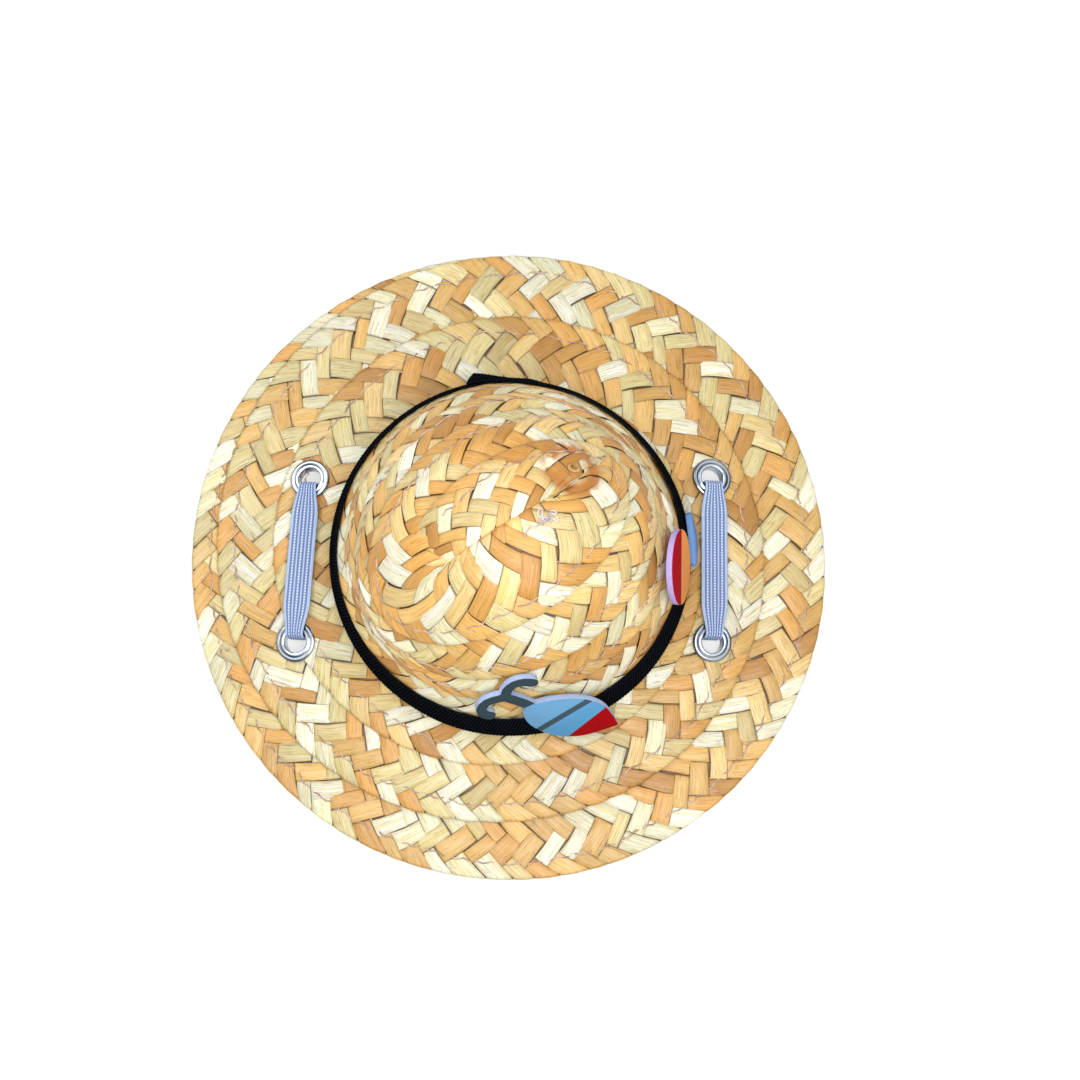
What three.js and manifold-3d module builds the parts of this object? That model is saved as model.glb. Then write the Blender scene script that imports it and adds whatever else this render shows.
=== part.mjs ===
// A small straw fishing hat for a soft toy: a domed crown and a round brim sewn from one long
// plait, a grosgrain ribbon round the crown, four eyelets with two flat elastic loops, and three
// die-cut foam lures glued to the ribbon. Millimetres, +Z up, the brim resting on z = 0.
import * as THREE from "three";
import { mergeVertices } from "three/addons/utils/BufferGeometryUtils.js";
import Module from "manifold-3d";

const wasm = await Module();
wasm.setup();

// Straw shell
const RING_STEPS = 64;
const WALL = 2;
const BRIM_RADIUS = 89;
const RIM_FLAT = 5;
const BRIM_SLOPE = 13.5;
const BRIM_BEND_LENGTH = 10;
const FOOT_RADIUS = 49.8;
const FOOT_Z = 9.5;
const FOOT_FILLET = 2.5;
const CROWN_HEIGHT = 53;
const CROWN_LEAN = 16;
const COLLAR_TOP_Z = 12.3;
const SEAM_GAP = 0.3;

// Ribbon
const RIBBON_HEIGHT = 12.7;
const RIBBON_THICKNESS = 0.8;
const RIBBON_BOTTOM_Z = 10.3;
const FIT_GAP = 0.3;
const TAIL = { start: 79, endLow: 104.5, endHigh: 102, lift: 2.2, bury: 0.15, inset: 0.2 };

// Eyelets, placed on the slope of the brim
const EYELET_STEPS = 20;
const EYELET = { hole: 3.1, barrel: 3.6, flange: 5.65, dome: 0.8, washer: 4.9, washerDepth: 0.6 };
const EYELETS = [
  { side: "right", end: "back", x: 56.6, y: 23.2 },
  { side: "right", end: "front", x: 56.2, y: -23.3 },
  { side: "left", end: "back", x: -56, y: 22 },
  { side: "left", end: "front", x: -59.4, y: -23.7 },
];

// Elastic loops
const ELASTIC = {
  width: 8,
  widthInHole: 4.4,
  taper: 6,
  thickness: 1,
  above: 2.4,
  below: 3.7,
  bend: 1.3,
  legInset: 1.05,
};

// Foam lures: the azimuth and upward lean of each face, and where the middle of its face is
const FOAM = 2;
const PLUG = { azimuth: -76, lean: 30, roll: -33, at: [15.94, -46.93, 25.32] };
const PLUG_OUTLINE = [
  { along: 15.1, half: 0 },
  { along: 11.6, half: 3.2 },
  { along: 7.4, half: 6.2 },
  { along: 2, half: 7.7 },
  { along: -3.4, half: 7.4 },
  { along: -9, half: 5.5 },
  { along: -12.9, half: 2.7 },
  { along: -14.4, half: 0 },
];
const HOOK_HALF_WIDTH = 1.45;
const HOOK_STROKES = {
  shank: [[-11, 1.2], [-16.5, 3.1], [-22.4, 4.2]],
  upperProng: [[-22.4, 4.2], [-23.3, 7], [-22.5, 9.6], [-20.2, 11.1], [-17.6, 11.3]],
  lowerProng: [[-22.4, 4.2], [-24.8, 2.8], [-26.7, 0.8], [-26.8, -1.6], [-25.2, -3.4], [-22.9, -3.7]],
};
const FLOAT = { azimuth: -4, lean: 17.9, roll: 0, at: [45.69, -6.8, 33.42], radius: 10.2, steps: 32 };
// The minnow is bent round the ribbon, so it is placed by azimuth and by the height of its middle.
const MINNOW = { start: -3.8, end: 13.3, middleZ: 14.3, halfHeight: 2.9, tipHeight: 0.5, foam: 1.6 };

const radians = THREE.MathUtils.degToRad;
const wallTangent = Math.tan(radians(CROWN_LEAN));

// ---- The profile of the straw shell: points [radius, height] of its upper, outer face ----

// The wall leans in at a steady angle up to the ribbon's upper edge. Above it the crown is a
// quarter of an ellipse that leaves the wall at the same angle and ends level at the top.
const ribbonTopZ = RIBBON_BOTTOM_Z + RIBBON_HEIGHT * Math.cos(radians(CROWN_LEAN));
const ribbonTopRadius = wallRadius(ribbonTopZ);
const domeHeight = FOOT_Z + CROWN_HEIGHT - ribbonTopZ;
const leanShare = (domeHeight * wallTangent) / ribbonTopRadius;
const sineAtWall = leanShare / (1 - leanShare);
const domeStart = Math.asin(sineAtWall);
const domeRadius = ribbonTopRadius / Math.cos(domeStart);
const domeRise = domeHeight / (1 - sineAtWall);
const domeCentreZ = ribbonTopZ - domeRise * sineAtWall;

function wallRadius(z) {
  return FOOT_RADIUS - wallTangent * (z - FOOT_Z);
}

// A point [radius, height] a little way off the wall.
function onWall(z, offset) {
  const lean = radians(CROWN_LEAN);
  return [wallRadius(z) + offset * Math.cos(lean), z + offset * Math.sin(lean)];
}

function crownOuterCurve(wallSteps, domeSteps) {
  const bottomZ = COLLAR_TOP_Z + SEAM_GAP;
  const points = [];
  for (let i = 0; i < wallSteps; i += 1) {
    const z = THREE.MathUtils.lerp(bottomZ, ribbonTopZ, i / wallSteps);
    points.push([wallRadius(z), z]);
  }
  for (let i = 0; i < domeSteps; i += 1) {
    const turn = THREE.MathUtils.lerp(domeStart, Math.PI / 2, i / domeSteps);
    points.push([domeRadius * Math.cos(turn), domeCentreZ + domeRise * Math.sin(turn)]);
  }
  points.push([0, FOOT_Z + CROWN_HEIGHT]);
  return points;
}

// The brim's upper face is walked inwards from the rim: a flat rim, a bend up to the slope, the
// slope itself, a fillet at the foot, and the collar that stands up behind the ribbon.
function brimSlopeLength() {
  const slope = radians(BRIM_SLOPE);
  const wall = radians(90 - CROWN_LEAN);
  const bendRadius = BRIM_BEND_LENGTH / slope;
  const inward = bendRadius * Math.sin(slope) + FOOT_FILLET * (Math.sin(wall) - Math.sin(slope));
  const rise = bendRadius * (1 - Math.cos(slope)) + FOOT_FILLET * (Math.cos(slope) - Math.cos(wall));
  const radiusLeft = BRIM_RADIUS - RIM_FLAT - inward - wallRadius(WALL + rise);
  return radiusLeft / (Math.cos(slope) - wallTangent * Math.sin(slope));
}

function brimUpperCurve() {
  const wallAngle = 90 - CROWN_LEAN;
  const filletLength = FOOT_FILLET * radians(wallAngle - BRIM_SLOPE);
  const stretches = [
    { length: RIM_FLAT, from: 0, to: 0, steps: 1 },
    { length: BRIM_BEND_LENGTH, from: 0, to: BRIM_SLOPE, steps: 2 },
    { length: brimSlopeLength(), from: BRIM_SLOPE, to: BRIM_SLOPE, steps: 3 },
    { length: filletLength, from: BRIM_SLOPE, to: wallAngle, steps: 3 },
  ];
  const points = [[BRIM_RADIUS, WALL]];
  for (const stretch of stretches) {
    for (let i = 0; i < stretch.steps; i += 1) {
      const angle = radians(THREE.MathUtils.lerp(stretch.from, stretch.to, (i + 0.5) / stretch.steps));
      const step = stretch.length / stretch.steps;
      const [radius, z] = points.at(-1);
      points.push([radius - step * Math.cos(angle), z + step * Math.sin(angle)]);
    }
  }
  points.push([wallRadius(COLLAR_TOP_Z), COLLAR_TOP_Z]);
  return points;
}

// The same curve moved towards the inside of the hat, square to itself at every point.
function offsetInside(points, distance) {
  return points.map(([radius, z], i) => {
    const before = points[Math.max(i - 1, 0)];
    const after = points[Math.min(i + 1, points.length - 1)];
    const along = new THREE.Vector2(after[0] - before[0], after[1] - before[1]).normalize();
    if (radius === 0) return [0, z - distance];
    return [radius - along.y * distance, z + along.x * distance];
  });
}

function brimHeightAt(radius) {
  const curve = brimUpperCurve();
  const next = curve.findIndex(([r]) => r <= radius);
  const [outerR, outerZ] = curve[next - 1];
  const [innerR, innerZ] = curve[next];
  return THREE.MathUtils.lerp(outerZ, innerZ, (outerR - radius) / (outerR - innerR));
}

// ---- Helpers that make closed geometries and solids ----

// Turns a profile of [radius, height] points about the Z axis, with the first point at azimuth -90.
function turned(profile, steps) {
  const points = profile.map(([radius, z]) => new THREE.Vector2(radius, z));
  return new THREE.LatheGeometry(points, steps).rotateX(Math.PI / 2);
}

function closedRing(profile, steps) {
  return turned([...profile, profile[0]], steps);
}

function solidFrom(geometry) {
  const bare = geometry.clone();
  bare.deleteAttribute("normal");
  bare.deleteAttribute("uv");
  const merged = mergeVertices(bare, 1e-4);
  return new wasm.Manifold(
    new wasm.Mesh({
      numProp: 3,
      vertProperties: merged.getAttribute("position").array,
      triVerts: new Uint32Array(merged.getIndex().array),
    }),
  );
}

function geometryFrom(solid) {
  const mesh = solid.getMesh();
  const geometry = new THREE.BufferGeometry();
  geometry.setAttribute("position", new THREE.BufferAttribute(mesh.vertProperties, 3));
  geometry.setIndex(new THREE.BufferAttribute(mesh.triVerts, 1));
  geometry.computeVertexNormals();
  return geometry;
}

// A frame whose Z axis looks out of the hat at an azimuth, leaning upwards, with X level before
// the roll, and whose origin is at a given point.
function facingFrame({ azimuth, lean, roll, at }) {
  const turn = radians(azimuth);
  const reach = Math.cos(radians(lean));
  const out = new THREE.Vector3(reach * Math.cos(turn), reach * Math.sin(turn), Math.sin(radians(lean)));
  const level = new THREE.Vector3(-Math.sin(turn), Math.cos(turn), 0);
  const up = new THREE.Vector3().crossVectors(out, level);
  const frame = new THREE.Matrix4().makeBasis(level, up, out);
  frame.multiply(new THREE.Matrix4().makeRotationZ(radians(roll)));
  return frame.setPosition(...at);
}

function brimNormal(azimuth) {
  const slope = radians(BRIM_SLOPE);
  const side = Math.sin(slope);
  return new THREE.Vector3(side * Math.cos(azimuth), side * Math.sin(azimuth), Math.cos(slope));
}

// ---- Materials ----

function finish(color, roughness, metalness = 0) {
  return new THREE.MeshStandardMaterial({ color, roughness, metalness });
}

const straw = finish(0xdcb670, 0.45);
const ribbonCloth = finish(0x121214, 0.75);
const steel = finish(0xd4d6da, 0.2, 1);
const elasticCloth = finish(0xdfe6f6, 0.8);
const blueFoam = finish(0x83b4dc, 0.8);
const redFoam = finish(0xc02a2c, 0.8);

// ---- The pieces ----

function makeCrown() {
  const outer = crownOuterCurve(2, 10);
  const inner = offsetInside(outer, WALL);
  const profile = [...inner.toReversed(), ...outer];
  return new THREE.Mesh(turned(profile, RING_STEPS), straw);
}

function eyeletFrame({ x, y }) {
  const azimuth = Math.atan2(y, x);
  const turn = new THREE.Quaternion();
  turn.setFromUnitVectors(new THREE.Vector3(0, 0, 1), brimNormal(azimuth));
  const position = new THREE.Vector3(x, y, brimHeightAt(Math.hypot(x, y)));
  return { position, turn };
}

function makeBrim() {
  const upper = brimUpperCurve();
  const lower = offsetInside(upper, WALL);
  const whole = solidFrom(closedRing([...upper, ...lower.toReversed()], RING_STEPS));
  const holes = EYELETS.map((eyelet) => {
    const { position, turn } = eyeletFrame(eyelet);
    const radius = EYELET.barrel + FIT_GAP;
    const drill = new THREE.CylinderGeometry(radius, radius, 4 * WALL, EYELET_STEPS);
    drill.rotateX(Math.PI / 2).applyQuaternion(turn);
    drill.translate(position.x, position.y, position.z);
    return solidFrom(drill);
  });
  const drilled = holes.reduce((brim, hole) => brim.subtract(hole), whole);
  return new THREE.Mesh(geometryFrom(drilled), straw);
}

// The ribbon lies along the wall, and its free end laps over its start at the back.
function makeHatBand() {
  const heights = [RIBBON_BOTTOM_Z, (RIBBON_BOTTOM_Z + ribbonTopZ) / 2, ribbonTopZ];
  const inner = heights.map((z) => onWall(z, FIT_GAP));
  const outer = heights.map((z) => onWall(z, FIT_GAP + RIBBON_THICKNESS));
  const band = solidFrom(closedRing([...inner.toReversed(), ...outer], RING_STEPS));
  const tail = new THREE.BoxGeometry(1, 1, 1, 10, 2, 1);
  const vertices = tail.getAttribute("position");
  for (let i = 0; i < vertices.count; i += 1) {
    const along = vertices.getX(i) + 0.5;
    const up = vertices.getY(i) + 0.5;
    const out = vertices.getZ(i) + 0.5;
    const end = THREE.MathUtils.lerp(TAIL.endLow, TAIL.endHigh, up);
    const azimuth = radians(THREE.MathUtils.lerp(TAIL.start, end, along));
    const lap = THREE.MathUtils.smoothstep(along, 0, 0.3) * (RIBBON_THICKNESS - 2 * TAIL.bury);
    const lift = TAIL.lift * THREE.MathUtils.smoothstep(along, 0.45, 1.2);
    const start = FIT_GAP + TAIL.bury + lap + lift;
    const offset = start + out * (RIBBON_THICKNESS - 2 * TAIL.bury);
    const z = THREE.MathUtils.lerp(RIBBON_BOTTOM_Z + TAIL.inset, ribbonTopZ - TAIL.inset, up);
    const [radius, height] = onWall(z, offset);
    vertices.setXYZ(i, radius * Math.cos(azimuth), radius * Math.sin(azimuth), height);
  }
  return new THREE.Mesh(geometryFrom(band.add(solidFrom(tail))), ribbonCloth);
}

// One turned piece: a domed flange on top, the barrel through the brim and the rolled washer below.
function makeEyelet(eyelet) {
  const top = FIT_GAP;
  const under = -WALL - FIT_GAP;
  const { hole, barrel, flange, dome, washer, washerDepth } = EYELET;
  const section = [
    [hole, under - washerDepth],
    [washer - 0.5, under - washerDepth],
    [washer, under - washerDepth / 2],
    [washer - 0.3, under],
    [barrel, under],
    [barrel, top],
    [flange - 0.2, top],
    [flange, top + dome * 0.3],
    [flange - 0.6, top + dome * 0.8],
    [(flange + hole) / 2, top + dome],
    [hole + 0.4, top + dome * 0.75],
    [hole, top + dome * 0.2],
  ];
  const mesh = new THREE.Mesh(closedRing(section, EYELET_STEPS), steel);
  const { position, turn } = eyeletFrame(eyelet);
  mesh.position.copy(position);
  mesh.quaternion.copy(turn);
  return mesh;
}

// The centre line of an elastic, seen from its edge: a rounded rectangle whose long sides run
// above and below the brim, as points with the direction that looks out of the loop.
function elasticLoop(halfLength) {
  const { bend, above, below } = ELASTIC;
  const corners = [
    { x: halfLength - bend, y: above - bend, from: 0 },
    { x: bend - halfLength, y: above - bend, from: 90 },
    { x: bend - halfLength, y: bend - below, from: 180 },
    { x: halfLength - bend, y: bend - below, from: 270 },
  ];
  const straightSteps = [10, 1, 4, 1];
  const bendSteps = 4;
  const loop = [];
  corners.forEach((corner, side) => {
    for (let i = 0; i <= bendSteps; i += 1) {
      const turn = radians(corner.from + (90 * i) / bendSteps);
      const out = new THREE.Vector2(Math.cos(turn), Math.sin(turn));
      loop.push({ at: new THREE.Vector2(corner.x, corner.y).addScaledVector(out, bend), out });
    }
    const last = loop.at(-1);
    const next = corners[(side + 1) % corners.length];
    const target = new THREE.Vector2(next.x, next.y).addScaledVector(last.out, bend);
    for (let i = 1; i < straightSteps[side]; i += 1) {
      loop.push({ at: last.at.clone().lerp(target, i / straightSteps[side]), out: last.out });
    }
  });
  return loop;
}

// A flat strap carried round that loop: full width along the brim, narrowing into the eyelets.
function makeElastic(side) {
  const [back, front] = EYELETS.filter((eyelet) => eyelet.side === side).map(eyeletFrame);
  const chord = back.position.clone().sub(front.position);
  const halfLength = chord.length() / 2 - ELASTIC.legInset;
  const loop = elasticLoop(halfLength);
  const geometry = new THREE.TorusGeometry(2, 1, 8, loop.length);
  const vertices = geometry.getAttribute("position");
  const uv = geometry.getAttribute("uv");
  const squared = (value) => Math.sign(value) * Math.abs(value) ** 0.35;
  for (let i = 0; i < vertices.count; i += 1) {
    const { at, out } = loop[Math.round(uv.getX(i) * loop.length) % loop.length];
    const turn = 2 * Math.PI * (uv.getY(i) + 1 / 16);
    const nearEnd = THREE.MathUtils.smoothstep(Math.abs(at.x), halfLength - ELASTIC.taper, halfLength);
    const width = THREE.MathUtils.lerp(ELASTIC.width, ELASTIC.widthInHole, nearEnd);
    const outwards = (squared(Math.cos(turn)) * ELASTIC.thickness) / 2;
    const sideways = (squared(Math.sin(turn)) * width) / 2;
    vertices.setXYZ(i, at.x + out.x * outwards, at.y + out.y * outwards, sideways);
  }
  const middle = back.position.clone().add(front.position).divideScalar(2);
  const along = chord.normalize();
  const up = brimNormal(Math.atan2(middle.y, middle.x));
  up.addScaledVector(along, -up.dot(along)).normalize();
  const across = new THREE.Vector3().crossVectors(along, up);
  const place = new THREE.Matrix4().makeBasis(along, up, across).setPosition(middle);
  const mesh = new THREE.Mesh(geometryFrom(solidFrom(geometry)), elasticCloth);
  mesh.applyMatrix4(place);
  return mesh;
}

// A foam sheet cut to an outline, its printed face at z = 0 and its back one thickness below.
function cutFoam(shape, curveSegments = 8) {
  const sheet = new THREE.ExtrudeGeometry(shape, { depth: FOAM, bevelEnabled: false, curveSegments });
  return sheet.translate(0, 0, -FOAM);
}

// A stroke of even width along a smooth line, with a round far end.
function strokeShape(route, halfWidth) {
  const curve = new THREE.SplineCurve(route.map(([x, y]) => new THREE.Vector2(x, y)));
  const steps = 8;
  const left = [];
  const right = [];
  for (let i = 0; i <= steps; i += 1) {
    const at = curve.getPoint(i / steps);
    const along = curve.getTangent(i / steps);
    const side = new THREE.Vector2(-along.y, along.x).multiplyScalar(halfWidth);
    left.push(at.clone().add(side));
    right.unshift(at.clone().sub(side));
  }
  const end = curve.getPoint(1);
  const cap = [1, 2, 3].map((i) => {
    const spoke = left.at(-1).clone().sub(end);
    return spoke.rotateAround(new THREE.Vector2(), (-Math.PI * i) / 4).add(end);
  });
  return new THREE.Shape([...left, ...cap, ...right]);
}

function makePlugLure() {
  const upper = PLUG_OUTLINE.map(({ along, half }) => new THREE.Vector2(along, half));
  const lower = PLUG_OUTLINE.map(({ along, half }) => new THREE.Vector2(along, -half)).reverse();
  const outline = new THREE.Shape();
  outline.moveTo(upper[0].x, upper[0].y);
  outline.splineThru(upper.slice(1));
  outline.splineThru(lower.slice(1));
  const strokes = Object.values(HOOK_STROKES).map((route) => strokeShape(route, HOOK_HALF_WIDTH));
  const cuts = [cutFoam(outline, 3), ...strokes.map((stroke) => cutFoam(stroke))];
  const joined = cuts.map(solidFrom).reduce((whole, cut) => whole.add(cut));
  const mesh = new THREE.Mesh(geometryFrom(joined), blueFoam);
  mesh.applyMatrix4(facingFrame(PLUG));
  return mesh;
}

function makeFloatLure() {
  const disc = new THREE.Shape().absarc(0, 0, FLOAT.radius, 0, 2 * Math.PI);
  const mesh = new THREE.Mesh(cutFoam(disc, FLOAT.steps), redFoam);
  mesh.applyMatrix4(facingFrame(FLOAT));
  return mesh;
}

// An oval strip that follows the ribbon round.
function makeMinnowLure() {
  const strip = new THREE.BoxGeometry(1, 1, 1, 16, 1, 1);
  const vertices = strip.getAttribute("position");
  for (let i = 0; i < vertices.count; i += 1) {
    const along = vertices.getX(i) * 2;
    const half = Math.max(MINNOW.halfHeight * Math.sqrt(1 - along * along), MINNOW.tipHeight);
    const azimuth = radians(THREE.MathUtils.lerp(MINNOW.start, MINNOW.end, vertices.getX(i) + 0.5));
    const offset = 2 * FIT_GAP + RIBBON_THICKNESS + (vertices.getZ(i) + 0.5) * MINNOW.foam;
    const [radius, height] = onWall(MINNOW.middleZ + vertices.getY(i) * 2 * half, offset);
    vertices.setXYZ(i, radius * Math.cos(azimuth), radius * Math.sin(azimuth), height);
  }
  return new THREE.Mesh(geometryFrom(solidFrom(strip)), blueFoam);
}

// ---- The hat ----

const hat = new THREE.Group();

function addPiece(name, mesh) {
  mesh.name = name;
  hat.add(mesh);
}

addPiece("crown", makeCrown());
addPiece("brim", makeBrim());
addPiece("hat_band", makeHatBand());
for (const eyelet of EYELETS) addPiece(`eyelet_${eyelet.side}_${eyelet.end}`, makeEyelet(eyelet));
addPiece("elastic_left", makeElastic("left"));
addPiece("elastic_right", makeElastic("right"));
addPiece("plug_lure", makePlugLure());
addPiece("float_lure", makeFloatLure());
addPiece("minnow_lure", makeMinnowLure());

export default hat;
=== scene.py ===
import bmesh
import bpy
import numpy as np
from mathutils import Matrix, Vector


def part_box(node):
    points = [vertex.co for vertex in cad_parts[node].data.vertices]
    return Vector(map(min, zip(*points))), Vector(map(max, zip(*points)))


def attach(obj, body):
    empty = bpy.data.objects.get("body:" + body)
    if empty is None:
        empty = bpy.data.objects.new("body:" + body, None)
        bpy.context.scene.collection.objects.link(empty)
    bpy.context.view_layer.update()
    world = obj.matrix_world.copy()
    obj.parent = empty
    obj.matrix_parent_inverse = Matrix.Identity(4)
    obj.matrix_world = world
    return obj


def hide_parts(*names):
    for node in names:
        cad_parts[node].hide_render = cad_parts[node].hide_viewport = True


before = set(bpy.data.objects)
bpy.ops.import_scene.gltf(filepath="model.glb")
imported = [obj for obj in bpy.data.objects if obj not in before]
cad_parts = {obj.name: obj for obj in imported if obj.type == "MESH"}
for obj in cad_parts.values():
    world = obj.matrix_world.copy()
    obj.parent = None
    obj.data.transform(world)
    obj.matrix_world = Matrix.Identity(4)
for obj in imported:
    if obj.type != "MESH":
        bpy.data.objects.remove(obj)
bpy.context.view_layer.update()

MM = 0.001
rng = np.random.default_rng(7)


def box_mm(node):
    """The lowest and highest corner of a node, in millimetres."""
    low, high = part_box(node)
    return np.array(low) / MM, np.array(high) / MM


def smoothstep(x):
    """0 below 0, 1 above 1, and an even S-shaped rise between."""
    x = np.clip(x, 0, 1)
    return x * x * (3 - 2 * x)


def lerp(a, b, t):
    return a + (b - a) * t


def unit(v):
    return v / np.linalg.norm(v)


def length_along(line):
    """The length from a line's first point to each of its points."""
    return np.r_[0, np.cumsum(np.linalg.norm(np.diff(line, axis=0), axis=1))]


def linear(hex_colour):
    """A colour as written on a swatch, in the linear values that a shader takes."""
    rgb = np.array([int(hex_colour[i:i + 2], 16) for i in (0, 2, 4)]) / 255
    return np.where(rgb <= 0.04045, rgb / 12.92, ((rgb + 0.055) / 1.055) ** 2.4)


# ---------------------------------------------------------------- camera

VIEW_CENTRE = np.array([8.55, 6.44, 0.0])
VIEW_DISTANCE = 800
VIEW_TILT_FRONT = np.radians(10.3)
VIEW_TILT_LEFT = np.radians(2.0)
LENS = 94.6


def make_camera():
    """A camera almost overhead, leaning a little to the front and to the left."""
    lean = np.array([-np.sin(VIEW_TILT_LEFT), -np.sin(VIEW_TILT_FRONT), 0])
    lean[2] = np.sqrt(1 - lean @ lean)
    right = unit(np.cross(-lean, [0, 1, 0]))
    up = np.cross(right, -lean)
    data = bpy.data.cameras.new("camera")
    data.lens = LENS
    camera = bpy.data.objects.new("camera", data)
    turn = Matrix(np.column_stack([right, up, lean]).tolist())
    place = Vector((VIEW_CENTRE + lean * VIEW_DISTANCE) * MM)
    camera.matrix_world = Matrix.Translation(place) @ turn.to_4x4()
    bpy.context.scene.collection.objects.link(camera)
    bpy.context.scene.camera = camera


# ---------------------------------------------------------------- the hat's outer face

BRIM_RADIUS = box_mm("brim")[1][0]
CROWN_TOP = box_mm("crown")[1][2]
WALL = 2.0  # the solid wall's thickness, and so the height of the rim's upper face
CROWN_LEAN = np.radians(16)
BRIM_SLOPE = np.radians(13.5)
FOOT_RADIUS, FOOT_Z = 49.8, 9.5  # a point of the wall's straight line, close to its foot
FOOT_FILLET = 2.5
RIM_FLAT, BRIM_BEND = 5.0, 10.0  # the level rim, and the length of the arc that leads to it
BAND_LOW_Z, BAND_HEIGHT = 10.3, 12.7
BAND_TOP_Z = BAND_LOW_Z + BAND_HEIGHT * np.cos(CROWN_LEAN)


def hat_profile():
    """The outer face's (radius, height) from the crown's middle to the rim.

    A quarter of an ellipse that meets the leaning wall without a kink, the straight wall, a fillet,
    the straight brim, an arc that levels it, and the flat rim.
    """
    lean = np.tan(CROWN_LEAN)
    wall_top_r = FOOT_RADIUS - lean * (BAND_TOP_Z - FOOT_Z)
    share = (CROWN_TOP - BAND_TOP_Z) * lean / wall_top_r
    sine = share / (1 - share)
    dome_r = wall_top_r / np.sqrt(1 - sine**2)
    dome_rise = (CROWN_TOP - BAND_TOP_Z) / (1 - sine)
    angle = np.linspace(np.pi / 2, np.arcsin(sine), 300)
    dome = np.column_stack([dome_r * np.cos(angle), CROWN_TOP + dome_rise * (np.sin(angle) - 1)])
    bend_r = BRIM_BEND / BRIM_SLOPE
    turn = np.linspace(BRIM_SLOPE, 0, 24)
    bend_end = BRIM_RADIUS - RIM_FLAT
    bend = np.column_stack([bend_end - bend_r * np.sin(turn), WALL + bend_r * (1 - np.cos(turn))])
    slope = np.tan(BRIM_SLOPE)
    corner_z = bend[0, 1] + (bend[0, 0] - FOOT_RADIUS - lean * FOOT_Z) * slope
    corner_z /= 1 - lean * slope
    corner = np.array([FOOT_RADIUS - lean * (corner_z - FOOT_Z), corner_z])
    corner_turn = np.pi / 2 - CROWN_LEAN - BRIM_SLOPE
    reach = FOOT_FILLET * np.tan(corner_turn / 2)
    down = np.array([np.sin(CROWN_LEAN), -np.cos(CROWN_LEAN)])
    start = corner - down * reach
    middle = start + FOOT_FILLET * np.array([np.cos(CROWN_LEAN), np.sin(CROWN_LEAN)])
    sweep = np.linspace(0, corner_turn, 16)
    fillet = middle - FOOT_FILLET * np.column_stack(
        [np.cos(CROWN_LEAN + sweep), np.sin(CROWN_LEAN + sweep)]
    )
    return np.vstack([dome, fillet, bend, [[BRIM_RADIUS, WALL]]])


def resample(line, step):
    """The same line with points about one step apart, and the length along it at each."""
    reach = length_along(line)
    at = np.linspace(0, reach[-1], int(reach[-1] / step) + 1)
    return np.column_stack([np.interp(at, reach, c) for c in line.T]), at


PROFILE, PROFILE_LENGTH = resample(hat_profile(), 0.25)
PROFILE_SLOPE = np.gradient(PROFILE, PROFILE_LENGTH, axis=0)
PROFILE_SLOPE /= np.linalg.norm(PROFILE_SLOPE, axis=1)[:, None]
RIM = PROFILE_LENGTH[-1]


def on_hat(length, azimuth, height):
    """Points at a length down the profile from the crown's middle, an azimuth, and a height off it."""
    r, z, slope_r, slope_z = (
        np.interp(length, PROFILE_LENGTH, c)
        for c in (PROFILE[:, 0], PROFILE[:, 1], PROFILE_SLOPE[:, 0], PROFILE_SLOPE[:, 1])
    )
    r = r - slope_z * height
    z = z + slope_r * height
    return np.stack([r * np.cos(azimuth), r * np.sin(azimuth), z], axis=-1)


def on_map(x, y, height):
    """Points on the hat from its flat map, where straight lines from the middle keep their length."""
    return on_hat(np.hypot(x, y), np.arctan2(y, x), height)


START_MAP = np.array([15.9, 16.5])  # where the plait starts on the crown, on the flat map
START_KNOT = on_map(*START_MAP, 0.0)
TANGLE_MAP = np.array([8.4, 1.4])  # where the loose thread lies, on the same map
# how far down the profile the band's upper edge and the crown's foot are
BAND_TOP_LENGTH, FOOT_LENGTH = np.interp([-BAND_TOP_Z, -FOOT_Z], -PROFILE[:, 1], PROFILE_LENGTH)


# ---------------------------------------------------------------- the spiral of plait

# The crown starts as an oval on a short straight seam, and grows round by the band.
SEAM_MIDDLE = np.array([-3.0, -0.5])
SEAM_TURN = np.radians(32)
SEAM_AXIS = np.array([np.cos(SEAM_TURN), np.sin(SEAM_TURN)])
# (distance out from the seam, half the length by which the oval there is longer than it is wide)
OVAL = np.array([(0, 20.4), (20, 20.4), (34, 17), (42, 12), (48, 6.5), (55, 3), (62, 0)])
# (turns of the spiral, how far out from the seam the plait's outer edge then is)
EDGE = np.array([
    (-0.3, 13), (-0.14, 15.6), (0, 17.8), (1, 33.8), (1.5, 41.9), (2, 47.5), (2.6, 54.8), (3.1, 62.5),
    (4.6, 86.8), (4.86, 96), (5.11, 100.1), (5.6, 102.6), (5.86, 112), (6.11, 200), (7.11, 200),
])
EDGE[:, 1] = np.minimum(EDGE[:, 1], RIM)
FIRST_TURN, LAST_TURN = EDGE[0, 0], EDGE[-1, 0]
START_ANGLE = np.radians(98)
STRAWS = 7
STRAW_WIDTH = 4.6
PERIOD = STRAW_WIDTH * np.sqrt(2)
PLAIT_WIDTH = STRAWS * PERIOD / 2
OVERLAP = 4.5  # how far, at the least, a row is tucked under the one above
BARE, COVERED = -0.45, -1.55  # a row's height in the open, and under the row above
STITCH_INSET = 5.0  # from a row's outer edge to its stitches
STITCH_DENT, DENT_WIDTH = 0.2, 0.9
ROW_RISE = 7  # the width over which a row comes up from under the one above
START_TUCKED, START_RISE = -0.16, 0.13  # the turn up to which the start lies low, and its rise
RIM_DROOP, DROOP_WIDTH = 0.85, 8  # how far the last row is let down at the rim, and over what width
LAST_ROW, DROOP_START = 6.1, 0.15  # the turn at which that starts, and how many turns it takes
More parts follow.
